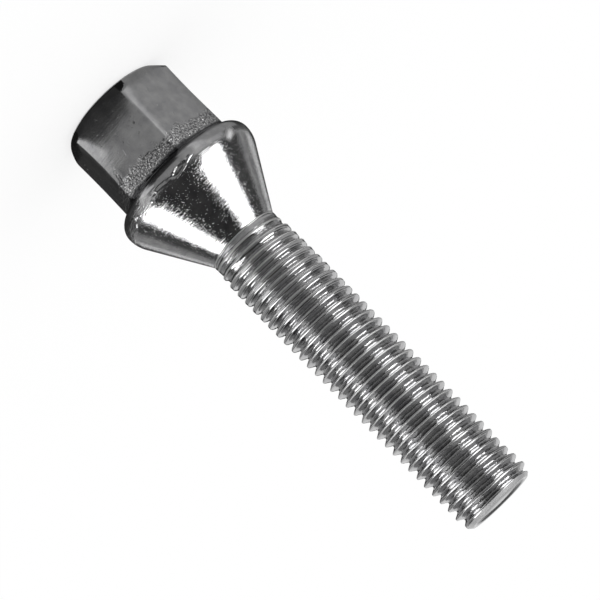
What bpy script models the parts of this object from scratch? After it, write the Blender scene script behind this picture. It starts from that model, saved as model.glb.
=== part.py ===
"""Wheel bolt: a 17 mm hex head, a round collar with a 60 degree cone seat and an M12 x 1.5 thread.

The bolt is one cold-forged piece, so it is one solid. Metres, +Z up. It stands on its head: the head's
end face lies at z = 0 and the thread points up. A corner of the hex points along +X.
"""

import math

import bmesh
import bpy

# Hex head
HEX_ACROSS_FLATS = 0.0168
HEX_CORNER_LOSS = 0.00022  # forging leaves each corner this much short of a sharp one
HEX_EDGE_EASE = 0.0016  # strip beside each corner where the flat falls away to it
HEX_WAIST = 0.00012  # the corners draw in this much halfway up the head
HEX_HEIGHT = 0.01232  # up to the fillet under the collar
HEAD_FACE_RADIUS = 0.00785
HEAD_CHAMFER_ANGLE = math.radians(47)  # from the end face

# Collar
COLLAR_DIAMETER = 0.0222
COLLAR_FILLET = 0.0008  # hollow fillet between the hex and the collar
COLLAR_BACK_ROUND = 0.00198  # from the collar's back to its rim
COLLAR_FRONT_ROUND = 0.00446  # from the rim to the seat

# Seat and neck
SEAT_ANGLE = math.radians(60)  # whole angle of the cone
NECK_DIAMETER = 0.01083
NECK_LENGTH = 0.0003

# Thread
THREAD_DIAMETER = 0.0117
THREAD_ROOT_DIAMETER = 0.0100
THREAD_PITCH = 0.0015
THREAD_LENGTH = 0.0492  # from the neck to the tip
THREAD_HAND = -1  # 1 is right-hand, -1 is left-hand
THREAD_CREST_WIDTH = 0.00024
THREAD_ROOT_WIDTH = 0.0003
THREAD_CREST_START = 0.00025  # height of a crest over the neck, where it passes +X
CREST_RUNOUT = 0.0072  # the crest rises from the neck over this length
ROOT_RUNOUT = 0.0150  # the root sinks from the neck over this length

# Tip
TIP_FACE_RADIUS = 0.0045
TIP_ROUND_LENGTH = 0.0008

# Facets
ROUND_SEGMENTS = 36
ARC_STEPS = 5
HEX_RINGS = 5
JOIN_DEPTH = 0.0008  # how far one shape reaches into the next before they are joined
CLOSEST_ROWS = 0.00003  # thread rows nearer than this to an end ring become part of it

# What follows from the sizes above
BACK_HEIGHT = HEX_HEIGHT + COLLAR_FILLET
RIM_HEIGHT = BACK_HEIGHT + COLLAR_BACK_ROUND
SEAT_HALF_ANGLE = SEAT_ANGLE / 2
SEAT_TOP_RADIUS = COLLAR_DIAMETER / 2 - COLLAR_FRONT_ROUND * (1 - math.cos(SEAT_HALF_ANGLE))
SEAT_TOP_HEIGHT = RIM_HEIGHT + COLLAR_FRONT_ROUND * math.sin(SEAT_HALF_ANGLE)
SEAT_LENGTH = (SEAT_TOP_RADIUS - NECK_DIAMETER / 2) / math.tan(SEAT_HALF_ANGLE)
NECK_HEIGHT = SEAT_TOP_HEIGHT + SEAT_LENGTH
THREAD_START = NECK_HEIGHT + NECK_LENGTH
THREAD_END = THREAD_START + THREAD_LENGTH


def clear_scene():
    for obj in list(bpy.data.objects):
        bpy.data.objects.remove(obj, do_unlink=True)


def add_object(name, bm):
    """Turns the bmesh into an object of the scene, with its faces outward."""
    bmesh.ops.recalc_face_normals(bm, faces=bm.faces)
    mesh = bpy.data.meshes.new(name)
    bm.to_mesh(mesh)
    bm.free()
    obj = bpy.data.objects.new(name, mesh)
    bpy.context.scene.collection.objects.link(obj)
    return obj


def add_boolean(obj, operation, other):
    """Joins or cuts obj with other, which stays as a hidden helper."""
    modifier = obj.modifiers.new(operation.title(), "BOOLEAN")
    modifier.operation = operation
    modifier.solver = "EXACT"
    modifier.object = other
    other.hide_render = True
    other.display_type = "WIRE"


def arc(center, radius, start, end):
    """Points (r, z) on an arc about center, from the angle start to the angle end."""
    steps = [start + (end - start) * k / ARC_STEPS for k in range(ARC_STEPS + 1)]
    return [(center[0] + radius * math.cos(a), center[1] + radius * math.sin(a)) for a in steps]


def angle_of(column):
    return 2 * math.pi * column / ROUND_SEGMENTS


def add_ring(bm, height, radius_at):
    """One ring of vertices, whose radius may depend on the column's angle."""
    ring = []
    for column in range(ROUND_SEGMENTS):
        angle = angle_of(column)
        radius = radius_at(angle, height)
        ring.append(bm.verts.new((radius * math.cos(angle), radius * math.sin(angle), height)))
    return ring


def bridge(bm, lower, upper):
    """Quads between two rings with the same number of vertices."""
    count = len(lower)
    for k in range(count):
        after = (k + 1) % count
        bm.faces.new((lower[k], lower[after], upper[after], upper[k]))


def hex_corner_radius(height):
    """Distance from the axis to a corner: short of sharp, and drawn in halfway up."""
    sharp = HEX_ACROSS_FLATS / 2 / math.cos(math.pi / 6)
    waist = HEX_WAIST * math.sin(math.pi * min(max(height / BACK_HEIGHT, 0), 1)) ** 2
    return sharp - HEX_CORNER_LOSS - waist


def hex_section(height):
    """Points (x, y) round the hex: straight flats that fall away to the corners."""
    corner = hex_corner_radius(height)
    half_side = corner / 2
    flat = HEX_ACROSS_FLATS / 2
    drop = flat - corner * math.cos(math.pi / 6)
    straight = half_side - min(HEX_EDGE_EASE, half_side / 2)
    middle = (straight + half_side) / 2
    side = [(half_side, drop), (middle, drop / 4), (straight, 0), (-straight, 0), (-middle, drop / 4)]
    points = []
    for k in range(6):
        facing = math.pi / 6 + k * math.pi / 3
        for along, fall in side:
            out = flat - fall
            x = out * math.cos(facing) + along * math.sin(facing)
            y = out * math.sin(facing) - along * math.cos(facing)
            points.append((x, y))
    return points


def hex_prism():
    """The hex, from under its end face to inside the collar."""
    bm = bmesh.new()
    bottom = -JOIN_DEPTH
    top = BACK_HEIGHT + JOIN_DEPTH
    rings = []
    for k in range(HEX_RINGS + 1):
        height = bottom + (top - bottom) * k / HEX_RINGS
        rings.append([bm.verts.new((x, y, height)) for x, y in hex_section(height)])
    for lower, upper in zip(rings, rings[1:]):
        bridge(bm, lower, upper)
    bm.faces.new(reversed(rings[0]))
    bm.faces.new(rings[-1])
    return add_object("hex_prism", bm)


def chamfer_blank():
    """The turned shape that the hex is kept inside: its end face and the chamfer on its corners."""
    widest = COLLAR_DIAMETER / 2
    rise = (widest - HEAD_FACE_RADIUS) * math.tan(HEAD_CHAMFER_ANGLE)
    top = max(BACK_HEIGHT, rise) + 2 * JOIN_DEPTH
    bm = bmesh.new()
    profile = [(HEAD_FACE_RADIUS, 0), (widest, rise), (widest, top)]
    rings = [add_ring(bm, height, lambda angle, z, r=radius: r) for radius, height in profile]
    for lower, upper in zip(rings, rings[1:]):
        bridge(bm, lower, upper)
    bm.faces.new(reversed(rings[0]))
    bm.faces.new(rings[-1])
    return add_object("chamfer_blank", bm)


def collar_profile():
    """Points (r, z) up the turned part: fillet, collar, seat and neck."""
    back_radius = COLLAR_DIAMETER / 2 - COLLAR_BACK_ROUND
    rim = (back_radius, RIM_HEIGHT)
    front = (COLLAR_DIAMETER / 2 - COLLAR_FRONT_ROUND, RIM_HEIGHT)
    points = [(back_radius - COLLAR_FILLET, HEX_HEIGHT - JOIN_DEPTH)]
    points += arc((back_radius, HEX_HEIGHT), COLLAR_FILLET, math.pi, math.pi / 2)[:-1]
    points += arc(rim, COLLAR_BACK_ROUND, -math.pi / 2, 0)
    points += arc(front, COLLAR_FRONT_ROUND, 0, SEAT_HALF_ANGLE)[1:]
    points += [(NECK_DIAMETER / 2, NECK_HEIGHT)]
    return points


def ease_in(share):
    """Goes from 0 to 1, fast at first and level at the end."""
    return 1 - (1 - min(max(share, 0), 1)) ** 2


def tooth_height(angle, height):
    """0 in the root of the thread, 1 on its crest, and a straight flank between them."""
    turns = (height - THREAD_START - THREAD_CREST_START) / THREAD_PITCH
    turns -= THREAD_HAND * angle / (2 * math.pi)
    off_crest = abs(turns - round(turns)) * THREAD_PITCH
    flank = (THREAD_PITCH - THREAD_CREST_WIDTH - THREAD_ROOT_WIDTH) / 2
    return 1 - min(max((off_crest - THREAD_CREST_WIDTH / 2) / flank, 0), 1)


def tip_limit(height):
    """The radius that the rounded end of the blank leaves at this height."""
    share = (height - THREAD_END + TIP_ROUND_LENGTH) / TIP_ROUND_LENGTH
    depth = THREAD_DIAMETER / 2 - TIP_FACE_RADIUS
    return TIP_FACE_RADIUS + depth * math.sqrt(1 - min(max(share, 0), 1) ** 2)


def thread_radius(angle, height):
    neck = NECK_DIAMETER / 2
    past = height - THREAD_START
    crest = neck + (THREAD_DIAMETER / 2 - neck) * ease_in(past / CREST_RUNOUT)
    root = neck + (THREAD_ROOT_DIAMETER / 2 - neck) * ease_in(past / ROOT_RUNOUT)
    radius = root + (crest - root) * tooth_height(angle, height)
    return min(radius, tip_limit(height))


def thread_rows():
    """Heights of the thread's rows where they pass +X: both edges of each crest and of each root."""
    edges = (
        -THREAD_CREST_WIDTH / 2,
        THREAD_CREST_WIDTH / 2,
        (THREAD_PITCH - THREAD_ROOT_WIDTH) / 2,
        (THREAD_PITCH + THREAD_ROOT_WIDTH) / 2,
    )
    first = -math.ceil(THREAD_CREST_START / THREAD_PITCH) - 2
    last = math.ceil(THREAD_LENGTH / THREAD_PITCH) + 2
    crests = [THREAD_START + THREAD_CREST_START + k * THREAD_PITCH for k in range(first, last + 1)]
    return [crest + edge for crest in crests for edge in edges], len(edges)


def add_thread(bm, start_ring, end_ring, end_height):
    """A net of columns and helical rows between two level rings. Rows past an end join its ring."""
    rows, rows_per_turn = thread_rows()
    grid = []
    for column in range(ROUND_SEGMENTS):
        angle = angle_of(column)
        climb = THREAD_HAND * THREAD_PITCH * column / ROUND_SEGMENTS
        verts = []
        for row in rows:
            height = row + climb
            if height < THREAD_START + CLOSEST_ROWS:
                verts.append(start_ring[column])
            elif height > end_height - CLOSEST_ROWS:
                verts.append(end_ring[column])
            else:
                radius = thread_radius(angle, height)
                verts.append(bm.verts.new((radius * math.cos(angle), radius * math.sin(angle), height)))
        grid.append(verts)
    # One turn on, the first column comes again, one pitch along the thread.
    shift = THREAD_HAND * rows_per_turn
    count = len(rows)
    grid.append([grid[0][min(max(row + shift, 0), count - 1)] for row in range(count)])
    for left, right in zip(grid, grid[1:]):
        for row in range(count - 1):
            corners = (left[row], right[row], right[row + 1], left[row + 1])
            unique = list(dict.fromkeys(corners))
            if len(unique) > 2:
                bm.faces.new(unique)


def turned_body():
    """Everything beyond the hex: collar, seat, neck and thread, closed at both ends."""
    bm = bmesh.new()
    rings = [add_ring(bm, z, lambda angle, height, r=radius: r) for radius, z in collar_profile()]
    rings.append(add_ring(bm, THREAD_START, thread_radius))
    for lower, upper in zip(rings, rings[1:]):
        bridge(bm, lower, upper)
    bm.faces.new(reversed(rings[0]))
    tip_heights = [
        THREAD_END - TIP_ROUND_LENGTH * (1 - math.sin(math.pi / 2 * k / ARC_STEPS))
        for k in range(1, ARC_STEPS + 1)
    ]
    tip_rings = [add_ring(bm, height, thread_radius) for height in tip_heights]
    for lower, upper in zip(tip_rings, tip_rings[1:]):
        bridge(bm, lower, upper)
    bm.faces.new(tip_rings[-1])
    add_thread(bm, rings[-1], tip_rings[0], tip_heights[0])
    return add_object("wheel_bolt", bm)


def plated_steel():
    material = bpy.data.materials.new("zinc_plated_steel")
    material.use_nodes = True
    shader = material.node_tree.nodes["Principled BSDF"]
    shader.inputs["Base Color"].default_value = (0.62, 0.62, 0.63, 1)
    shader.inputs["Metallic"].default_value = 1
    shader.inputs["Roughness"].default_value = 0.25
    return material


def build():
    clear_scene()
    head = hex_prism()
    add_boolean(head, "INTERSECT", chamfer_blank())
    bolt = turned_body()
    add_boolean(bolt, "UNION", head)
    bolt.data.materials.append(plated_steel())
    bolt.data.shade_smooth()
    bolt.data.set_sharp_from_angle(angle=math.radians(30))


build()
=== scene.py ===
"""Wheel bolt in the studio: one forged, rolled and plated piece that stands on its head.

The fine net has the part's own sizes. Metres, +Z up, with a corner of the hex along +X.
"""

import math

import bpy
import numpy as np
from mathutils import Matrix, Vector


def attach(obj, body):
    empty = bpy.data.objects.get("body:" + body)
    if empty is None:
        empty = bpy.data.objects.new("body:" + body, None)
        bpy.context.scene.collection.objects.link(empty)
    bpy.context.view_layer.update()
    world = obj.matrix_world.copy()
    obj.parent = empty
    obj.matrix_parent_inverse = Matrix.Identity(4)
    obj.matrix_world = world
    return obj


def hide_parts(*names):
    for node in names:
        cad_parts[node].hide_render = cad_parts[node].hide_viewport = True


# The scene is in metres, and the sizes below are in millimetres.
MM = 0.001

# Hex head
HEX_FLAT = 8.4  # from the axis to a flat
HEX_CORNER_LOSS = 0.22  # what a corner lacks of a sharp one
HEX_EDGE_EASE = 1.9  # width of the bend from a flat to its corner
HEX_WAIST = 0.12  # how far the corners draw in halfway up
HEX_TOP = 12.32
CORNER_ROUND = 0.13  # width of the round on a corner
CORNER_BLUNT = 0.035  # and what it takes off
HEAD_FACE_RADIUS = 7.85
HEAD_CHAMFER = math.radians(47)
FILLET_WIDTH = 0.4  # least width of the fillet between hex and collar

# Collar, seat and neck
COLLAR_RADIUS = 11.1
COLLAR_BACK_ROUND = 1.98
COLLAR_FRONT_ROUND = 4.46
BACK_HEIGHT = 13.12
RIM_HEIGHT = BACK_HEIGHT + COLLAR_BACK_ROUND
SEAT_HALF_ANGLE = math.radians(30)
SEAT_TOP_RADIUS = COLLAR_RADIUS - COLLAR_FRONT_ROUND * (1 - math.cos(SEAT_HALF_ANGLE))
SEAT_TOP_HEIGHT = RIM_HEIGHT + COLLAR_FRONT_ROUND * math.sin(SEAT_HALF_ANGLE)
NECK_RADIUS = 5.415
NECK_HEIGHT = SEAT_TOP_HEIGHT + (SEAT_TOP_RADIUS - NECK_RADIUS) / math.tan(SEAT_HALF_ANGLE)
# Small step and tool's groove at the foot of the neck: how far out and how far up each ring lies
NECK_STEP = ((0.0, 0.0), (0.04, 0.05), (0.02, 0.1), (-0.07, 0.15), (-0.07, 0.2), (0.05, 0.26))

# The fold that the die left on the rim: angles round the bolt in degrees, and the ridge's heights
FOLD_ANGLES = (238, 241, 245, 249.5, 253.5, 257.5, 261.5, 267.5, 274.5, 280)
FOLD_HEIGHTS = (15.3, 15.49, 15.72, 16.1, 16.25, 16.03, 15.8, 15.57, 15.41, 15.3)
FOLD_RIDGE = 0.17  # height of the ridge
FOLD_GROOVE = 0.09  # depth of the groove below it
FOLD_EDGE = 0.13  # height of the hollow's edge
FOLD_HOLLOW = 0.26  # depth of the hollow

# Thread
THREAD_START = NECK_HEIGHT + 0.3
THREAD_END = THREAD_START + 49.2
THREAD_RADIUS = 5.85
ROOT_RADIUS = 5.0
PITCH = 1.5
HAND = -1  # -1 is left-hand
CREST_START = 0.25  # from the start of the thread to its first crest
LAST_CREST = (THREAD_END - THREAD_START - CREST_START) / PITCH  # in turns
LAND_RADIUS = 5.57  # the last crest, which the point flattened
LAND_RISE = 0.2  # turns in which the last groove runs out
TIP_CHAMFER = 0.5
TIP_FACE_RADIUS = 4.97
# The rolled end face is a rim, a trough and a low dome: radius, and how deep it lies.
TIP_FACE = (
    (4.85, 0.0),
    (4.5, 0.01),
    (4.3, 0.07),
    (4.1, 0.17),
    (3.9, 0.22),
    (3.4, 0.2),
    (2.4, 0.12),
    (1.2, 0.04),
    (0.4, 0.01),
)

# How the crests grow from the neck: height past the start of the thread, and radius
CREST_PLACES = (0.2, 1.1, 1.8, 2.6, 4.0, 5.5, 8.0)
CREST_RADII = (5.46, 5.55, 5.67, 5.73, 5.78, 5.82, THREAD_RADIUS + 0.01)
FOOT_SWELL = 0.06  # what the neck is thicker by at the start of the thread
FOOT_LENGTH = 0.8
SCORE_DEPTH = 0.09  # of the first groove
BEAD_PLACE = 0.14  # from a crest's middle toward the head
BEAD_HEIGHT = 0.055
BEAD_WIDTH = 0.08
CREST_LEAN = 0.05

# Changes along the thread: where one starts past the thread's start, and its length
FIRST_GROOVE = 0.9
ROOT_SINKS = (0, 17.0)
GROOVE_SINKS = (FIRST_GROOVE, 0.95)
BEAD_GROWS = (1.0, 0.9)
CRESTS_FLATTEN = (1.9, 1.0)
SCORES_NARROW = (3, 3)
BEAD_FADES = (6, 12)
TEETH_FILL = (6, 15)
CRESTS_WIDEN = (34, 8)
PEENING_FADES = (34, 9)
# The same in turns: crests stray from the helix, and their height is uneven
STRAY_GROWS = (14, 12)
UNEVEN_GROWS = (20, 6)

# Knocks on the crests: turns along the thread, half width in turns, depth
KNOCKS = (
    (28.55, 0.07, 0.2),
    (29.55, 0.05, 0.11),
    (24.3, 0.03, 0.1),
    (30.3, 0.025, 0.09),
    (32.32, 0.02, 0.08),
)
# The bright peened line of the crest: height past the start of the thread, and place past the crest
PEENED_HEIGHTS = (0.9, 1.6, 2.2, 3.4, 8.0, 21.0)
PEENED_PLACES = (0.15, 0.0, -0.08, -0.14, -0.14, 0.0)
PEENED_HALF = 0.17

# The net. Rows on the thread are measured from a crest, and rows on the tip from the thread's end.
SIDE_STEPS = 18  # over half of one side of the hex
HEX_ROWS = 34
FILLET_STEPS = 7
BACK_STEPS = 10
FRONT_STEPS = 28
SEAT_ROWS = (0.1, 0.22, 0.34, 0.46, 0.58, 0.7, 0.8, 0.88, 0.94, 0.985)  # shares of the seat
NET_START = THREAD_START + 0.02
NET_GAP = 0.03  # least gap between the thread's rows and the rings at its ends
TOOTH_SIDE_ROWS = (0.07, 0.13, 0.2, 0.29, 0.38, 0.47, 0.56, 0.66)  # on both sides of a crest
TOOTH_ROWS = (*(-row for row in reversed(TOOTH_SIDE_ROWS)), 0.0, *TOOTH_SIDE_ROWS, PITCH / 2)
TIP_ROWS = (-0.6, -0.5, -0.47, -0.4, -0.32, -0.24, -0.16, -0.08, -0.03, 0.0)

# Camera, with its angles in degrees
CAMERA_AZIMUTH = 253.3
CAMERA_ELEVATION = 11.034
CAMERA_ROLL = 135.6
CAMERA_DISTANCE = 359.24
CAMERA_AIM = (0.233, -0.070, 37.449)
CAMERA_LENS = 160.33
CAMERA_SENSOR = 36


def from_hex(code):
    """Linear colour from an sRGB hex value."""
    parts = [int(code[k : k + 2], 16) / 255 for k in (1, 3, 5)]
    linear = [c / 12.92 if c <= 0.04045 else ((c + 0.055) / 1.055) ** 2.4 for c in parts]
    return (*linear, 1)


def ease(share):
    """A soft step from 0 to 1."""
    share = np.clip(share, 0, 1)
    return share * share * (3 - 2 * share)


def changed(place, change):
    """How much of a change is done at a place, 0 to 1."""
    start, length = change
    return ease((place - start) / length)


def hump(off, width):
    """A round bump, 1 in its middle, that fades over a width on each side."""
    return np.exp(-((off / width) ** 2))


def wander(at, seed, knots=4096):
    """Smooth random values, about -1 to 1, along a line with one knot to each unit."""
    values = np.random.default_rng(seed).uniform(-1, 1, knots)
    low = np.floor(at).astype(int)
    share = ease(at - low)
    return values[low % knots] * (1 - share) + values[(low + 1) % knots] * share


# The bolt's surface


def side_positions():
    """Places along one side of the hex, -1 to 1, closer together at the corners."""
    half = np.linspace(0, 1, SIDE_STEPS + 1)
    half = np.sin(half * math.pi / 2) * 0.5 + half * 0.5
    return np.concatenate([-half[:0:-1], half[:-1]])


SIDE = side_positions()
COLUMNS = 6 * len(SIDE)


def hex_points(height):
    """x and y round the hex at a height for each column, which may differ by column."""
    height = np.broadcast_to(np.asarray(height, float), (COLUMNS,))
    sharp = HEX_FLAT / math.cos(math.pi / 6)
    waist = HEX_WAIST * np.sin(math.pi * np.clip(height / BACK_HEIGHT, 0, 1)) ** 2
    corner = sharp - HEX_CORNER_LOSS - waist
    half_side = corner / 2
    along = np.tile(SIDE, 6) * half_side
    drop = HEX_FLAT - corner * math.cos(math.pi / 6)
    past = np.clip((np.abs(along) - half_side + HEX_EDGE_EASE) / HEX_EDGE_EASE, 0, 1)
    near = np.clip(1 - (half_side - np.abs(along)) / CORNER_ROUND, 0, 1)
    out = HEX_FLAT - (drop * past**2 + CORNER_BLUNT * near**2)
    facing = np.repeat(math.pi / 6 + np.arange(6) * math.pi / 3, len(SIDE))
    x = out * np.cos(facing) - along * np.sin(facing)
    y = out * np.sin(facing) + along * np.cos(facing)
    return np.stack([x, y], axis=1)


def fold_lift(angle, height):
    """How far the fold on the rim stands out, by the angle round the bolt in degrees."""
    inside = np.interp(angle, (236, 241, 270, 280), (0, 1, 1, 0))
    ridge = np.interp(angle, FOLD_ANGLES, FOLD_HEIGHTS) + 0.07 * wander(angle / 1.9, seed=11)
    past = height - ridge
    lap = FOLD_RIDGE * hump(past, 0.1) - FOLD_GROOVE * hump(past + 0.2, 0.09)
    # Below the middle of the ridge lies a hollow with an edge of its own.
    back = np.interp(angle, (241, 245, 251, 255, 260), (15.55, 15.2, 15.15, 15.35, 15.95))
    hollow = np.clip((height - back) / 0.1, 0, 1) * np.clip(-past / 0.12, 0, 1)
    edge = FOLD_EDGE * hump(height - back + 0.05, 0.08)
    lens = np.interp(angle, (241, 245, 256, 260), (0, 1, 1, 0))
    return inside * (lap + lens * (edge - FOLD_HOLLOW * hollow))


def head_rings():
    """Rings of points (x, y, z) from the end face up to the start of the thread."""
    rings = []
    base = hex_points(0.6)
    base_radius = np.hypot(base[:, 0], base[:, 1])
    direction = base / base_radius[:, None]

    def round_ring(radius, height):
        """Adds a ring at a radius along each column's direction."""
        radius = np.broadcast_to(np.asarray(radius, float), (COLUMNS,))
        height = np.broadcast_to(np.asarray(height, float), (COLUMNS,))
        rings.append(np.column_stack([direction * radius[:, None], height]))

    # The end face with its soft edge, and the chamfer up to its crease with the hex
    for radius in (3.0, 6.0, HEAD_FACE_RADIUS - 0.25, HEAD_FACE_RADIUS - 0.08):
        round_ring(radius, 0)
    round_ring(HEAD_FACE_RADIUS + 0.02, 0.05)
    crease = (base_radius - HEAD_FACE_RADIUS) * math.tan(HEAD_CHAMFER)
    for share in (0.3, 0.65):
        round_ring(HEAD_FACE_RADIUS + (base_radius - HEAD_FACE_RADIUS) * share, crease * share)
    round_ring(base_radius - 0.07, crease - 0.05)
    start = crease + 0.09
    top = HEX_TOP - 0.05 + 0.5 * (base_radius - HEX_FLAT)
    for row in range(HEX_ROWS + 1):
        height = start + (top - start) * row / HEX_ROWS
        rings.append(np.column_stack([hex_points(height), height]))

    # The hollow fillet leaves the hex and runs into the back of the collar.
    edge = rings[-1]
    edge_radius = np.hypot(edge[:, 0], edge[:, 1])
    direction = edge[:, :2] / edge_radius[:, None]
    back_center = COLLAR_RADIUS - COLLAR_BACK_ROUND
    meet_radius = np.maximum(back_center + 0.05, edge_radius + FILLET_WIDTH)
    meet_angle = -np.arccos(np.clip((meet_radius - back_center) / COLLAR_BACK_ROUND, 0, 1))
    meet_height = RIM_HEIGHT + COLLAR_BACK_ROUND * np.sin(meet_angle)
    for step in range(1, FILLET_STEPS + 1):
        turn = math.pi / 2 * step / FILLET_STEPS
        round_ring(
            edge_radius + (meet_radius - edge_radius) * (1 - math.cos(turn)),
            top + (meet_height - top) * math.sin(turn),
        )
    for step in range(1, BACK_STEPS + 1):
        angle = meet_angle * (1 - step / BACK_STEPS)
        round_ring(
            back_center + COLLAR_BACK_ROUND * np.cos(angle),
            RIM_HEIGHT + COLLAR_BACK_ROUND * np.sin(angle),
        )

    # The round of the rim carries the fold, which stays inside the CAD model's box.
    front_center = COLLAR_RADIUS - COLLAR_FRONT_ROUND
    degrees = np.degrees(np.arctan2(direction[:, 1], direction[:, 0])) % 360
    most = (COLLAR_RADIUS - 0.003) / np.abs(direction).max(axis=1)
    for step in range(1, FRONT_STEPS + 1):
        angle = SEAT_HALF_ANGLE * step / FRONT_STEPS
        radius = front_center + COLLAR_FRONT_ROUND * math.cos(angle)
        height = RIM_HEIGHT + COLLAR_FRONT_ROUND * math.sin(angle)
        round_ring(np.minimum(radius + fold_lift(degrees, height), most), height)
    for share in SEAT_ROWS:
        round_ring(
            SEAT_TOP_RADIUS + (NECK_RADIUS - SEAT_TOP_RADIUS) * share,
            SEAT_TOP_HEIGHT + (NECK_HEIGHT - SEAT_TOP_HEIGHT) * share,
        )
    for out, up in NECK_STEP:
        round_ring(NECK_RADIUS + out, NECK_HEIGHT + up)
    return rings


def thread_place(angle, height):
    """Share of a turn, turns up the thread, the nearest crest's number and the distance past it."""
    turn = HAND * angle / (2 * math.pi)
    place = (height - THREAD_START - CREST_START) / PITCH - turn
    number = np.round(place)
    along = number + turn
    stray = 0.015 + 0.04 * changed(along, STRAY_GROWS)
    off = (place - number) * PITCH + stray * wander(along * 13, seed=5)
    return turn, place, number, np.clip(off, -PITCH / 2, PITCH / 2)


def tooth_height(past, off):
    """Share of the tooth's height, 0 to 1, at a distance off the crest's middle.

    The dies only score the first turn, and leave the next crests wide and flat. A crest is 0.2 mm
    wide, then 0.66 mm, then 0.16 mm, and 0.3 mm near the point. A root is 0.8 mm wide, then 0.3 mm.
    """
    grown = changed(past, CRESTS_FLATTEN)
    full = changed(past, TEETH_FILL)
    crest = 0.2 + 0.46 * grown
    crest = crest + (0.16 + 0.14 * changed(past, CRESTS_WIDEN) - crest) * full
    root = 0.8 - 0.5 * grown
    root = root + (0.3 - root) * full
    flank = (PITCH - crest - root) / 2
    shift = 0.15 * (grown * (1 - full))
    away = np.abs((off - shift + PITCH / 2) % PITCH - PITCH / 2)
    share = (away - crest / 2) / flank
    # The rounds into the crest and into the root
    soft = (0.06 + 0.02 * full) / flank
    deep = (0.07 + 0.04 * full) / flank
    into_crest = np.clip(share + soft, 0, None) ** 2 / (4 * soft)
    into_root = 1 - np.clip(1 + deep - share, 0, None) ** 2 / (4 * deep)
    return 1 - np.where(share < soft, into_crest, np.where(share > 1 - deep, into_root, share))


def thread_radius(angle, height):
    """Radius of the skin on the thread."""
    past = height - THREAD_START
    turn, place, number, off = thread_place(angle, height)
    along = number + turn
    crest = np.interp(past, CREST_PLACES, CREST_RADII)
    uneven = 0.035 + 0.03 * changed(along, UNEVEN_GROWS)
    crest = crest - uneven * (0.6 + wander(along * 17, seed=7))
    for middle, half_width, depth in KNOCKS:
        crest = crest - depth * ease(1 - np.abs(along - middle) / half_width)
    root = NECK_RADIUS + FOOT_SWELL * np.clip(1 - past / FOOT_LENGTH, 0, 1)
    root = root - SCORE_DEPTH * changed(past, GROOVE_SINKS)
    root = root - (NECK_RADIUS - SCORE_DEPTH - ROOT_RADIUS) * changed(past, ROOT_SINKS)
    # The last groove runs out into the flattened land at the point.
    last = np.floor(LAST_CREST - turn)
    land = ease((last + turn - LAST_CREST + 1) / LAND_RISE)
    flattened = crest + (np.minimum(crest, LAND_RADIUS) - crest) * land
    crest = np.where(number >= last, flattened, crest)
    tooth = tooth_height(past, off)
    tooth = np.where(place > last, tooth + (1 - tooth) * land, tooth)
    # An unfinished crest leans toward the point, and its side toward the head carries a rolled bead.
    unfinished = 1 - changed(past, BEAD_FADES)
    leaning = changed(past, CRESTS_FLATTEN) * unfinished
    lean = CREST_LEAN * np.clip(off + BEAD_PLACE, -0.1, 0.7) * np.clip(tooth * 2, 0, 1)
    beaded = changed(past, BEAD_GROWS) * unfinished
    bead = BEAD_HEIGHT * hump(off + BEAD_PLACE, BEAD_WIDTH)
    radius = root + (crest - root) * tooth + beaded * bead - leaning * lean
    # The chamfer of the point cuts all of it.
    share = (height - THREAD_END + TIP_CHAMFER) / TIP_CHAMFER
    chamfer = LAND_RADIUS + (TIP_FACE_RADIUS - LAND_RADIUS) * share
    return np.minimum(radius, np.where(share > 0, chamfer, THREAD_RADIUS))


def thread_ring(angles, height):
    """A level ring of points on the thread."""
    heights = np.full(len(angles), height)
    radius = thread_radius(angles, heights)
    return np.column_stack([radius * np.cos(angles), radius * np.sin(angles), heights])


def skin_masks(angle, radius, height):
    """Three masks: the peened line of the crest, the scored root and flank, and painted shade in two
    hollows.
    """
    past = height - THREAD_START
    *_, off = thread_place(angle, height)
    tooth = tooth_height(past, off)
    on_thread = (past > FIRST_GROOVE - 0.5) & (height < THREAD_END - TIP_CHAMFER)
    # The step at the neck and the chamfer of the point are bright as well.
    line = np.interp(past, PEENED_HEIGHTS, PEENED_PLACES)
    crest = np.clip((PEENED_HALF - np.abs(off - line)) / 0.08, 0, 1)
    crest = crest * (1 - 0.6 * changed(past, PEENING_FADES))
    ledge = (past > -0.29) & (past < -0.19)
    chamfer = (height > THREAD_END - TIP_CHAMFER) & (radius > TIP_FACE_RADIUS - 0.01)
    crest = np.maximum(crest * on_thread, np.maximum(0.9 * ledge, 0.5 * chamfer))
    # The scores cover nearly the whole tooth at the neck, and later its lowest third.
    scored = 0.3 + 0.6 * (1 - changed(past, SCORES_NARROW))
    root = np.clip((scored - tooth) / 0.15, 0, 1)
    flank = np.clip((line - off - 0.18) / 0.08, 0, 1) * (tooth < 0.9)
    # Painted shade: dark in the fillet under the collar and in the trough of the end face.
    fillet = np.interp(height, (12.35, 12.6, 13.6, 14.1), (0, 1, 1, 0))
    trough = np.interp(radius, (1.7, 2.3, 4.2, 4.4), (0, 1, 1, 0)) * (height > THREAD_END - 0.4)
    return crest, np.maximum(root, flank) * on_thread, np.maximum(fillet, trough)


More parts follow.
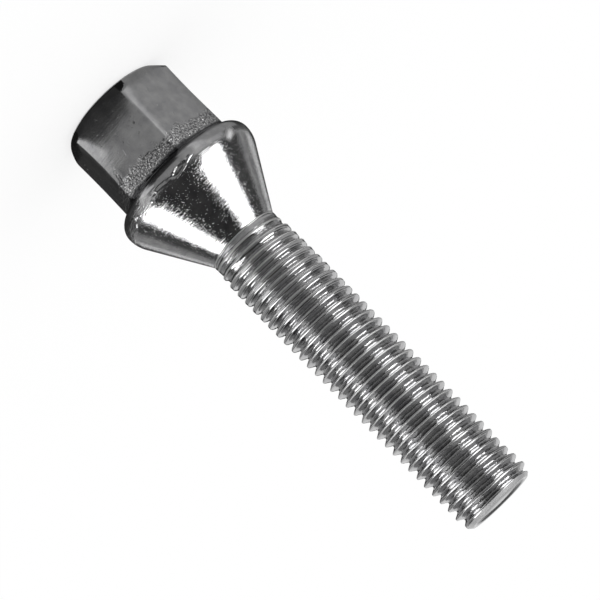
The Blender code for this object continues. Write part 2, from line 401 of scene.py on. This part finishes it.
def bolt_mesh():
    """The whole skin of the bolt: level rings on the head, a helical net on the thread."""
    rings = head_rings()
    points = []
    faces = []

    def add_points(ring):
        first = len(points)
        points.extend(map(tuple, ring))
        return list(range(first, first + len(ring)))

    def bridge(loops):
        for lower, upper in zip(loops, loops[1:]):
            for k in range(len(lower)):
                after = (k + 1) % len(lower)
                faces.append((lower[k], lower[after], upper[after], upper[k]))

    center = add_points([(0, 0, 0)])[0]
    loops = [add_points(ring) for ring in rings]
    first = loops[0]
    for k in range(COLUMNS):
        faces.append((center, first[(k + 1) % COLUMNS], first[k]))
    bridge(loops)

    # The thread has half the head's columns, every second one.
    angles = np.arctan2(rings[-1][::2, 1], rings[-1][::2, 0]) % (2 * math.pi)
    angles[0] = 0
    count = len(angles)
    start = add_points(thread_ring(angles, NET_START))
    top = loops[-1]
    for k in range(count):
        after = (k + 1) % count
        middle = 2 * k + 1
        faces.append((top[2 * k], top[middle], start[k]))
        faces.append((top[middle], start[after], start[k]))
        faces.append((top[middle], top[(middle + 1) % COLUMNS], start[after]))

    tip_rings = [thread_ring(angles, THREAD_END + row) for row in TIP_ROWS]
    ends = [add_points(ring) for ring in tip_rings]
    bridge(ends)
    end_face = [ends[-1]]
    for radius, sink in TIP_FACE:
        share = radius / TIP_FACE_RADIUS
        end_face.append(add_points(tip_rings[-1] * (share, share, 1) - (0, 0, sink)))
    bridge(end_face)
    tip = add_points([(0, 0, THREAD_END - TIP_FACE[-1][1])])[0]
    last = end_face[-1]
    for k in range(count):
        faces.append((last[k], last[(k + 1) % count], tip))

    # Rows follow the helix, and those that leave the thread end on its first or last ring.
    end_height = THREAD_END + TIP_ROWS[0]
    turns = math.ceil((THREAD_END - THREAD_START) / PITCH) + 2
    first_crest = CREST_START + THREAD_START
    rows = [first_crest + turn * PITCH + row for turn in range(-2, turns) for row in TOOTH_ROWS]
    rows = np.array(sorted(rows))
    grid = []
    for column, angle in enumerate(angles):
        heights = rows + HAND * PITCH * angle / (2 * math.pi)
        radii = thread_radius(np.full(len(rows), angle), heights)
        line = []
        for height, radius in zip(heights, radii):
            if height < NET_START + NET_GAP:
                line.append(start[column])
            elif height > end_height - NET_GAP:
                line.append(ends[0][column])
            else:
                line.append(len(points))
                points.append((radius * math.cos(angle), radius * math.sin(angle), height))
        grid.append(line)
    shift = HAND * len(TOOTH_ROWS)
    size = len(rows)
    grid.append([grid[0][min(max(row + shift, 0), size - 1)] for row in range(size)])
    for left, right in zip(grid, grid[1:]):
        for row in range(size - 1):
            corners = (left[row], right[row], right[row + 1], left[row + 1])
            unique = list(dict.fromkeys(corners))
            if len(unique) > 2:
                faces.append(tuple(unique))

    mesh = bpy.data.meshes.new("wheel_bolt_skin")
    mesh.from_pydata([(x * MM, y * MM, z * MM) for x, y, z in points], [], faces)
    mesh.validate()
    mesh.shade_smooth()
    xs, ys, zs = np.array(points).T
    masks = skin_masks(np.arctan2(ys, xs) % (2 * math.pi), np.hypot(xs, ys), zs)
    # The third mask is painted shade in the fillet and in the end face's trough.
    for name, values in zip(("crest", "scored", "hollow_shade"), masks):
        attribute = mesh.attributes.new(name, "FLOAT", "POINT")
        attribute.data.foreach_set("value", values.astype(np.float32))
    return mesh


# Material

# Sockets that share their names with others, by number: of Map Range, and of Mix with colours
FROM_LOW, FROM_HIGH, TO_LOW, TO_HIGH = 1, 2, 3, 4
FACTOR, COLOR_A, COLOR_B, MIXED = 0, 6, 7, 2

RELIEF_UNIT = 0.01 * MM  # of all heights in the relief
WAVER = 0.5  # how far the outlines of the marks waver
ABOVE_ALL = 9.0  # more than any noise reaches

# Marks on the head: place, half lengths along the face, through it and up it, turn of the face,
# tilt, height in hundredths of a millimetre
HEAD_MARKS = (
    ((-3.0, -8.4, 6.1), (0.2, 0.4, 0.2), 0, 0, -4.0),
    ((-0.1, -8.4, 6.8), (0.14, 0.4, 0.14), 0, 0, -2.5),
    ((0.9, -8.4, 7.9), (0.09, 0.4, 1.1), 0, 4, -1.6),
    ((3.95, -8.4, 9.8), (0.38, 0.5, 2.0), 0, 8, -16.0),
    ((-5.3, -7.55, 1.1), (0.4, 0.7, 0.3), -30, 0, 5.0),
    ((-6.67, -5.24, 3.65), (0.1, 0.4, 0.6), -60, 20, 3.5),
    ((-6.32, -5.85, 6.05), (0.09, 0.4, 0.55), -60, -14, 3.5),
    ((-6.87, -4.9, 8.3), (0.09, 0.4, 0.55), -60, 18, 3.0),
    ((8.02, -2.9, 3.7), (0.55, 0.4, 0.28), 60, 10, 15.0),
    ((7.6, -3.6, 3.3), (0.3, 0.4, 0.2), 60, -20, 9.0),
)
# Knocks and burrs on the collar's rim, in the same way
RIM_MARKS = (
    ((0.87, -11.05, 15.41), (0.5, 0.5, 0.25), 5, 0, 8.0),
    ((2.3, -10.8, 15.8), (0.4, 0.5, 0.3), 12, 20, 10.0),
    ((6.04, -9.31, 15.3), (0.7, 0.6, 0.35), 33, 15, 22.0),
    ((6.9, -8.7, 15.9), (0.5, 0.6, 0.3), 38, -10, 18.0),
    ((5.0, -9.9, 15.6), (0.4, 0.6, 0.25), 27, 30, 15.0),
)
# A knock on the rim, worn dull, whose white tint also paints in the highlight it catches: place,
# half lengths, turn and tilt
WORN_SHEEN_MARK = ((-10.0, -3.8, 16.2), (2.1, 1.4, 1.0), -69, -34)


def add_node(tree, kind, sockets=None, **settings):
    """Adds a node, sets its properties, and links each socket or sets its value."""
    node = tree.nodes.new(kind)
    for name, value in settings.items():
        setattr(node, name, value)
    for key, value in (sockets or {}).items():
        if isinstance(value, bpy.types.NodeSocket):
            tree.links.new(value, node.inputs[key])
        else:
            node.inputs[key].default_value = value
    return node


def band(tree, value, low, high, soft):
    """1 where the value lies between two limits and 0 outside them, with soft edges."""
    limits = {"Value": value, FROM_LOW: low - soft, FROM_HIGH: low + soft}
    rise = add_node(tree, "ShaderNodeMapRange", limits, interpolation_type="SMOOTHSTEP")
    limits = {"Value": value, FROM_LOW: high - soft, FROM_HIGH: high + soft}
    limits |= {TO_LOW: 1.0, TO_HIGH: 0.0}
    fall = add_node(tree, "ShaderNodeMapRange", limits, interpolation_type="SMOOTHSTEP")
    both = {0: rise.outputs[0], 1: fall.outputs[0]}
    return add_node(tree, "ShaderNodeMath", both, operation="MULTIPLY").outputs[0]


def grain(tree, place, size, stretch=1.0, detail=2.0, seed=0.0):
    """Noise with grains of a size in millimetres, drawn out round the bolt by the stretch."""
    sockets = {"Vector": place, "Scale": (1 / stretch, 1 / stretch, 1), "Location": (seed, 0, seed)}
    moved = add_node(tree, "ShaderNodeMapping", sockets).outputs[0]
    sockets = {"Vector": moved, "Scale": 1 / size, "Detail": detail}
    return add_node(tree, "ShaderNodeTexNoise", sockets).outputs["Fac"]


def mark(tree, place, at, size, turn, tilt):
    """1 in the middle of a small oval on the surface and 0 round it. Sizes are half lengths."""
    rotation = (0, math.radians(tilt), math.radians(turn))
    sockets = {"Vector": place, "Location": at, "Rotation": rotation, "Scale": size}
    moved = add_node(tree, "ShaderNodeMapping", sockets, vector_type="TEXTURE").outputs[0]
    away = add_node(tree, "ShaderNodeVectorMath", {0: moved}, operation="LENGTH").outputs["Value"]
    limits = {"Value": away, FROM_LOW: 0.0, FROM_HIGH: 1.0, TO_LOW: 1.0, TO_HIGH: 0.0}
    return add_node(tree, "ShaderNodeMapRange", limits, interpolation_type="SMOOTHSTEP").outputs[0]


def add_layer(tree, total, pattern, mask, height):
    """Adds a pattern, where its mask shows it, to the relief or roughness so far."""
    shown = add_node(tree, "ShaderNodeMath", {0: pattern, 1: mask}, operation="MULTIPLY").outputs[0]
    sockets = {0: shown, 1: height, 2: total}
    return add_node(tree, "ShaderNodeMath", sockets, operation="MULTIPLY_ADD").outputs[0]


def two_tones(tree, pattern, low, high, dark, light):
    """One colour where a pattern is low, another where it is high, and mixtures between."""
    limits = {"Value": pattern, FROM_LOW: low, FROM_HIGH: high}
    share = add_node(tree, "ShaderNodeMapRange", limits).outputs[0]
    tones = {FACTOR: share, COLOR_A: from_hex(dark), COLOR_B: from_hex(light)}
    return add_node(tree, "ShaderNodeMix", tones, data_type="RGBA").outputs[MIXED]


def plated_steel():
    """Bright zinc on forged, turned and rolled steel: a dark mirror with sharp white lights."""
    material = bpy.data.materials.new("bright_zinc_plated_steel")
    material.use_nodes = True
    tree = material.node_tree
    shader = tree.nodes["Principled BSDF"]
    shader.inputs["Metallic"].default_value = 1

    metres = add_node(tree, "ShaderNodeTexCoord").outputs["Object"]
    to_mm = {0: metres, "Scale": 1 / MM}
    place = add_node(tree, "ShaderNodeVectorMath", to_mm, operation="SCALE").outputs[0]
    axes = add_node(tree, "ShaderNodeSeparateXYZ", {0: place})
    height = axes.outputs["Z"]
    # The third attribute is painted shade in the fillet and in the trough of the end face.
    crest, scored, hollow_shade = (
        add_node(tree, "ShaderNodeAttribute", attribute_name=name).outputs["Fac"]
        for name in ("crest", "scored", "hollow_shade")
    )
    ragged = {0: grain(tree, place, 1.1, detail=3.0, seed=3.3), 1: 3.0, 2: height}
    ragged = add_node(tree, "ShaderNodeMath", ragged, operation="MULTIPLY_ADD").outputs[0]

    # Parts of the bolt by their heights, the pressed scale with a ragged edge, and the side of the
    # rim that lies lower in the picture
    hex_part = band(tree, height, -1.0, 12.6, 0.2)
    scale_part = band(tree, ragged, 11.9, 14.4, 0.35)
    lower_side = band(tree, axes.outputs["X"], 2.0, 20.0, 1.0)
    rim_part = band(tree, height, 13.3, 16.4, 0.2)
    seat_part = band(tree, height, 15.6, 26.0, 0.5)
    seat_end = band(tree, height, 24.8, 26.0, 0.1)

    wavered = {"Vector": place, "Scale": 2.0, "Detail": 2.0}
    wavered = add_node(tree, "ShaderNodeTexNoise", wavered).outputs["Color"]
    wavered = {0: wavered, 1: (WAVER, WAVER, WAVER), 2: place}
    wavered = add_node(tree, "ShaderNodeVectorMath", wavered, operation="MULTIPLY_ADD").outputs[0]

    relief = 0.0
    # Scale that the die pressed into the top of the hex, 0.3 mm a grain
    scale = grain(tree, place, 0.3, detail=1.0, seed=1.1)
    relief = add_layer(tree, relief, scale, scale_part, 13.0)
    # Slow waves of the forging, 2.8 mm long
    waves = grain(tree, place, 2.8, detail=1.0, seed=0.4)
    relief = add_layer(tree, relief, waves, hex_part, 2.4)
    # Drawing lines of the die, 0.25 mm apart
    lines = grain(tree, place, 0.25, stretch=12.0, seed=0.8)
    relief = add_layer(tree, relief, lines, hex_part, 0.6)
    # Pits, 0.5 mm a grain
    pits = band(tree, grain(tree, place, 0.5, seed=0.2), 0.7, ABOVE_ALL, 0.05)
    relief = add_layer(tree, relief, pits, hex_part, -1.4)
    # Turning marks on the rim, 0.2 mm apart, and rougher ones on its lower side
    turning = grain(tree, place, 0.2, stretch=9.0, seed=2.2)
    relief = add_layer(tree, relief, turning, rim_part, 0.25)
    rougher = grain(tree, place, 0.22, stretch=7.0, seed=2.9)
    rougher = add_layer(tree, 0.0, rougher, lower_side, 8.0)
    relief = add_layer(tree, relief, rougher, rim_part, 1.3)
    # Turning marks on the seat, drawn 0.17 mm apart so that they show, and grit in the plating
    turning = grain(tree, place, 0.17, stretch=7.0, seed=0.1)
    relief = add_layer(tree, relief, turning, seat_part, 3.0)
    fine_grit = grain(tree, place, 0.13, stretch=1.3, seed=0.7)
    relief = add_layer(tree, relief, fine_grit, seat_part, 1.35)
    grit = grain(tree, place, 0.15, stretch=1.8, detail=1.0, seed=4.1)
    grit = band(tree, grit, 0.68, ABOVE_ALL, 0.07)
    relief = add_layer(tree, relief, grit, seat_part, 0.95)
    # Longer marks where the seat nears the neck, 0.16 mm apart
    turning = grain(tree, place, 0.16, stretch=14.0, seed=0.9)
    relief = add_layer(tree, relief, turning, seat_end, 3.0)
    # Scores of the dies along the thread, drawn 0.15 mm apart so that they show, and grit on the
    # crests
    scores = grain(tree, place, 0.15, stretch=5.0, seed=0.3)
    relief = add_layer(tree, relief, scores, scored, 5.5)
    crest_grit = grain(tree, place, 0.16, stretch=1.5, seed=0.6)
    relief = add_layer(tree, relief, crest_grit, crest, 1.3)
    for at, size, turn, tilt, tall in HEAD_MARKS + RIM_MARKS:
        # Half of the waver is a plain shift, which the place takes up.
        middle = tuple(value + WAVER / 2 for value in at)
        relief = add_layer(tree, relief, mark(tree, wavered, middle, size, turn, tilt), 1.0, tall)
    bump = {"Height": relief, "Distance": RELIEF_UNIT, "Strength": 1.0}
    bump = add_node(tree, "ShaderNodeBump", bump).outputs[0]
    tree.links.new(bump, shader.inputs["Normal"])

    # Thin clouds of the plating, and the scale's light grains with dark between them, drawn
    # 0.24 mm apart so that they show
    clouds = grain(tree, place, 1.6, detail=4.0, seed=5.2)
    clouds = two_tones(tree, clouds, 0.3, 0.7, "#BEBEC0", "#DADADA")
    grains = grain(tree, place, 0.24, detail=1.0, seed=7.4)
    grains = two_tones(tree, grains, 0.35, 0.65, "#828284", "#F6F6F6")
    color = {FACTOR: scale_part, COLOR_A: clouds, COLOR_B: grains}
    color = add_node(tree, "ShaderNodeMix", color, data_type="RGBA").outputs[MIXED]
    # Painted shade in the fillet under the collar and in the trough of the end, bright metal on the
    # crests, and the worn knock, whose white tint also paints in a highlight
    # Real wear, dull and rough, and a painted highlight: the knock's white tint brightens the light
    # it catches.
    worn_and_sheen = mark(tree, wavered, *WORN_SHEEN_MARK)
    for mask, tint in ((hollow_shade, "#5C5C5E"), (crest, "#D2D2D2"), (worn_and_sheen, "#FFFFFF")):
        color = {FACTOR: mask, COLOR_A: color, COLOR_B: from_hex(tint)}
        color = add_node(tree, "ShaderNodeMix", color, data_type="RGBA").outputs[MIXED]
    tree.links.new(color, shader.inputs["Base Color"])

    # The plating is a little uneven, and duller on the hex, the rim, the worn knock and the crests,
    # most of all on the crests near the neck.
    rough = add_layer(tree, 0.07, grain(tree, place, 3.0, seed=0.9), 1.0, 0.08)
    rough = add_layer(tree, rough, hex_part, 1.0, 0.1)
    rough = add_layer(tree, rough, worn_and_sheen, 1.0, 0.5)
    rough = add_layer(tree, rough, crest, band(tree, height, -1.0, 40.0, 8.0), 0.14)
    rough = add_layer(tree, rough, crest, 1.0, 0.43)
    rough = add_layer(tree, rough, rim_part, 1.0, 0.08)
    tree.links.new(rough, shader.inputs["Roughness"])
    return material


# Studio

FLOOR_HALF = 8.0  # metres
FLOOR_CORNERS = ((-1, -1), (1, -1), (1, 1), (-1, 1))
SHADOW_THINNED = 0.75  # share of white in what the camera sees of the floor
GROUND_COLUMNS = 49
WALL_COLUMNS = 13
WALL_ROWS = 7
BOX_AIM = 0.03  # metres over the floor

# Grey cards under and round the bolt, which only the metal sees: light on the right, dark behind.
# The foot cards are painted shadow of the bolt's foot on the floor.
# Name, azimuths in degrees, inner and outer edge in millimetres, colour, and a height over the
# floor in millimetres where it isn't 0.1
GROUND_CARDS = (
    ("ground_front", (-34, 20), 4, 100, "#8C8C8C"),
    ("ground_front_far", (-34, 20), 100, 350, "#6C6C6C"),
    ("ground_front_farthest", (-34, 20), 350, 1200, "#949494"),
    ("ground_right_front", (20, 36), 4, 1200, "#9A9A9A"),
    ("ground_right", (36, 57), (4, 5, 12, 26, 52), 62, "#C4C4C4", 0.2),
    ("ground_right_side", (36, 95), 4, 62, "#989898"),
    ("ground_right_edge", (95, 125), 4, 62, "#8C8C8C"),
    ("ground_right_outer", (36, 88), 62, 1200, "#B4B4B4"),
    ("ground_right_dark", (88, 150), 62, 150, "#585858"),
    ("ground_right_far", (88, 150), 150, 1200, "#B0B0B0"),
    ("ground_back", (125, 150), 4, 62, "#343434"),
    ("ground_far_back", (150, 210), 4, 1200, "#343434"),
    ("ground_left_back", (210, 262), 4, 110, "#343434"),
    ("ground_left_far", (210, 294), 110, 190, "#9A9A9A"),
    ("ground_left_far_front", (294, 326), 110, 190, "#FAFAFA"),
    ("ground_left_farthest", (210, 280), 190, 1200, "#9A9A9A"),
    ("ground_left_farthest_light", (280, 315), 190, 1200, "#FAFAFA"),
    ("ground_left_farthest_front", (315, 326), 190, 1200, "#808080"),
    ("ground_left_side", (262, 294), 4, 50, "#444444"),
    ("ground_left_side_dark", (262, 278), 50, 110, "#444444"),
    ("ground_left_side_light", (278, 294), 50, 88, "#E0E0E0"),
    ("ground_left_side_outer", (278, 294), 88, 110, "#444444"),
    ("ground_left_near", (294, 326), 4, 33, "#DCDCDC"),
    ("ground_left", (294, 326), 33, 42, "#606060"),
    ("ground_left_middle", (294, 316), 42, 88, "#E0E0E0"),
    ("ground_left_gap", (316, 326), 42, 88, "#606060"),
    ("ground_left_outer", (294, 326), 88, 110, "#606060"),
    # Painted shadow round the bolt's foot: dark cards, and a grey one on the lit right side.
    ("dark_foot_left", (-180, 24), 4, 12.4, "#181818", 0.2),
    ("grey_foot_right", (24, 78), 4, 12.4, "#808080", 0.3),
    ("dark_foot_back", (78, 180), 4, 12.4, "#181818", 0.2),
    ("dark_foot_front", (-46, 14), 4, (15, 21, 25.5, 21, 22.5, 22, 21, 21, 20), "#303030", 0.4),
)

# Dark cloths in front and at the sides, and lighter cards at the back and above.
# Name, azimuths and elevations in degrees, colour, and a distance in metres where it isn't 1
WALL_CARDS = (
    ("cloth_front", (-62, 40), (12, 82), "#363636"),
    ("cloth_front_low", (-62, 40), (-1, 12), "#404040"),
    ("card_right", (40, 115), (-1, 38), "#444444"),
    ("card_right_side", (115, 120), (-1, 38), "#7C7C7C"),
    ("card_right_stripe", (120, 125), (-1, 38), "#A8A8A8"),
    ("card_right_side_back", (125, 138), (-1, 38), "#808080"),
    ("card_right_back", (138, 152), (-1, 38), "#C8C8C8"),
    ("card_right_high", (40, 96), (38, 62), "#444444"),
    ("card_right_top", (96, 146), (38, 66), "#C4C4C4"),
    ("card_left", (-122, -62), (-1, 38), "#484848"),
    ("card_left_back", (-144, -122), (-1, 38), "#909090"),
    ("card_left_high", (-98, -62), (38, 62), "#484848"),
    ("card_left_top", (-146, -98), (38, 66), "#C4C4C4"),
    ("card_back", (144, 216), (-1, 28), "#DCDCDC"),
    ("stand_behind", (165, 195), (-1, 5), "#383838", 0.9),
    ("card_back_high_right", (146, 168), (28, 62), "#A4A4A4"),
    ("card_back_high", (168, 190), (28, 62), "#888888"),
    ("card_back_high_left", (190, 214), (28, 62), "#C4C4C4"),
    ("card_above", (146, 190), (62, 82), "#6A6A6A"),
    ("card_above_back", (190, 214), (62, 82), "#B4B4B4"),
    ("card_above_right", (40, 146), (62, 82), "#ECECEC"),
    ("card_above_left_back", (214, 258), (62, 82), "#C8C8C8"),
    ("card_above_left", (258, 298), (62, 76), "#FFFFFF", 0.93),
    ("card_above_left_high", (258, 298), (76, 82), "#C8C8C8"),
)

# Name, azimuth and elevation in degrees, distance, width and height in metres, radiance
SOFT_BOXES = (
    ("soft_box_right", 59, 38, 0.5, 0.31, 0.5, 3.7),
    ("soft_box_left", -78.5, 36, 0.5, 0.225, 0.5, 3.7),
)


def toward(azimuth, elevation):
    """Unit vector out of the bolt. Azimuth 0 is the camera's side, 90 the picture's upper right."""
    turned = math.radians(CAMERA_AZIMUTH) - math.radians(azimuth)
    rise = math.radians(elevation)
    level = math.cos(rise)
    return Vector((math.cos(turned) * level, math.sin(turned) * level, math.sin(rise)))


def add_object(name, data):
    """Adds an object to the scene."""
    obj = bpy.data.objects.new(name, data)
    bpy.context.scene.collection.objects.link(obj)
    return obj


def floor_material():
    """White paper. The camera sees its shadows thinned, as in a photo freed of its background."""
    material = bpy.data.materials.new("white_floor_paper")
    material.use_nodes = True
    tree = material.node_tree
    shader = tree.nodes["Principled BSDF"]
    shader.inputs["Base Color"].default_value = from_hex("#FFFFFF")
    shader.inputs["Roughness"].default_value = 0.9
    shader.inputs["Specular IOR Level"].default_value = 0.0
    seen = add_node(tree, "ShaderNodeLightPath").outputs["Is Camera Ray"]
    share = {0: seen, 1: SHADOW_THINNED}
    share = add_node(tree, "ShaderNodeMath", share, operation="MULTIPLY").outputs[0]
    glow = {"Color": from_hex("#FFFFFF"), "Strength": 1.0}
    glow = add_node(tree, "ShaderNodeEmission", glow).outputs[0]
    mixed = {0: share, 1: shader.outputs[0], 2: glow}
    mixed = add_node(tree, "ShaderNodeMixShader", mixed).outputs[0]
    tree.links.new(mixed, tree.nodes["Material Output"].inputs["Surface"])
    return material


def card_material(name, color):
    """A card that looks evenly lit from every side."""
    material = bpy.data.materials.new(name)
    material.use_nodes = True
    tree = material.node_tree
    tree.nodes.remove(tree.nodes["Principled BSDF"])
    glow = add_node(tree, "ShaderNodeEmission", {"Color": from_hex(color), "Strength": 1.0})
    tree.links.new(glow.outputs[0], tree.nodes["Material Output"].inputs["Surface"])
    return material


def stage_mesh(name, points, faces, material):
    """Adds an object of the studio, which is no part of the bolt."""
    mesh = bpy.data.meshes.new(name)
    mesh.from_pydata(points, [], faces)
    mesh.materials.append(material)
    obj = add_object(name, mesh)
    return obj


def net_card(name, rows, color):
    """A card from rows of points with the same count, which only reflections show."""
    width = len(rows[0])
    points = [tuple(point) for row in rows for point in row]
    faces = [
        (r * width + k, r * width + k + 1, (r + 1) * width + k + 1, (r + 1) * width + k)
        for r in range(len(rows) - 1)
        for k in range(width - 1)
    ]
    card = stage_mesh(name, points, faces, card_material(name, color))
    card.visible_camera = False
    card.visible_diffuse = False
    card.visible_shadow = False
    card.visible_transmission = False


def wall_card(name, azimuths, elevations, color, distance=1.0):
    """A card that stands round the bolt like part of a tent."""
    rows = [
        [toward(azimuth, elevation) * distance for azimuth in np.linspace(*azimuths, WALL_COLUMNS)]
        for elevation in np.linspace(*elevations, WALL_ROWS)
    ]
    net_card(name, rows, color)


def ground_card(name, azimuths, inner, outer, color, height=0.1):
    """A card round the foot of the bolt. An edge is one radius, or several over its width."""
    share = np.linspace(0, 1, GROUND_COLUMNS)
    turned = np.linspace(*azimuths, GROUND_COLUMNS)
    rows = []
    for edge in (inner, outer):
        edge = np.atleast_1d(edge)
        radii = np.interp(share, np.linspace(0, 1, len(edge)), edge) * MM
        rows.append([toward(a, 0) * r + Vector((0, 0, height * MM)) for a, r in zip(turned, radii)])
    net_card(name, rows, color)


def soft_box(name, azimuth, elevation, distance, width, height, radiance):
    """A lamp behind a cloth that faces the bolt. It draws highlights and doesn't light the floor."""
    light = bpy.data.lights.new(name, "AREA")
    light.shape = "RECTANGLE"
    light.size = width
    light.size_y = height
    light.energy = radiance * math.pi * width * height
    obj = add_object(name, light)
    away = toward(azimuth, elevation)
    obj.location = Vector((0, 0, BOX_AIM)) + away * distance
    obj.rotation_euler = away.to_track_quat("Z", "Y").to_euler()
    obj.visible_camera = False
    obj.visible_diffuse = False


def add_camera():
    """The photo's camera, which faces its aim and is rolled."""
    camera = bpy.data.cameras.new("camera")
    camera.lens = CAMERA_LENS
    camera.sensor_width = CAMERA_SENSOR
    camera.clip_start = 0.01
    camera.clip_end = 50
    obj = add_object("camera", camera)
    away = toward(0, CAMERA_ELEVATION)
    level = away.to_track_quat("Z", "Y").to_matrix()
    rolled = level @ Matrix.Rotation(math.radians(CAMERA_ROLL), 3, "Z")
    place = Matrix.Translation((Vector(CAMERA_AIM) + away * CAMERA_DISTANCE) * MM)
    obj.matrix_world = place @ rolled.to_4x4()
    bpy.context.scene.camera = obj


def add_world():
    """White light from all sides, which lights the floor."""
    world = bpy.data.worlds.new("white_studio")
    bpy.context.scene.world = world
    world.use_nodes = True
    background = world.node_tree.nodes["Background"]
    background.inputs["Color"].default_value = from_hex("#FFFFFF")
    background.inputs["Strength"].default_value = 1.0


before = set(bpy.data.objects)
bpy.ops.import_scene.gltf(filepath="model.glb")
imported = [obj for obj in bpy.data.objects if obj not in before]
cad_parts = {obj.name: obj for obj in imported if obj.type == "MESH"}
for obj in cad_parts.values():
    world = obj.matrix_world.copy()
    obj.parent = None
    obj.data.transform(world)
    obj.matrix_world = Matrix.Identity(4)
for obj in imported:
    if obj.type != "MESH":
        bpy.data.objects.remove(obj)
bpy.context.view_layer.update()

add_camera()

bolt = add_object("wheel_bolt_skin", bolt_mesh())
bolt.data.materials.append(plated_steel())
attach(bolt, "root")
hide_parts("wheel_bolt")

corners = [(x * FLOOR_HALF, y * FLOOR_HALF, 0) for x, y in FLOOR_CORNERS]
stage_mesh("floor", corners, [(0, 1, 2, 3)], floor_material())
for card in GROUND_CARDS:
    ground_card(*card)
for card in WALL_CARDS:
    wall_card(*card)
for box in SOFT_BOXES:
    soft_box(*box)
add_world()

bpy.context.scene.view_settings.view_transform = "Standard"
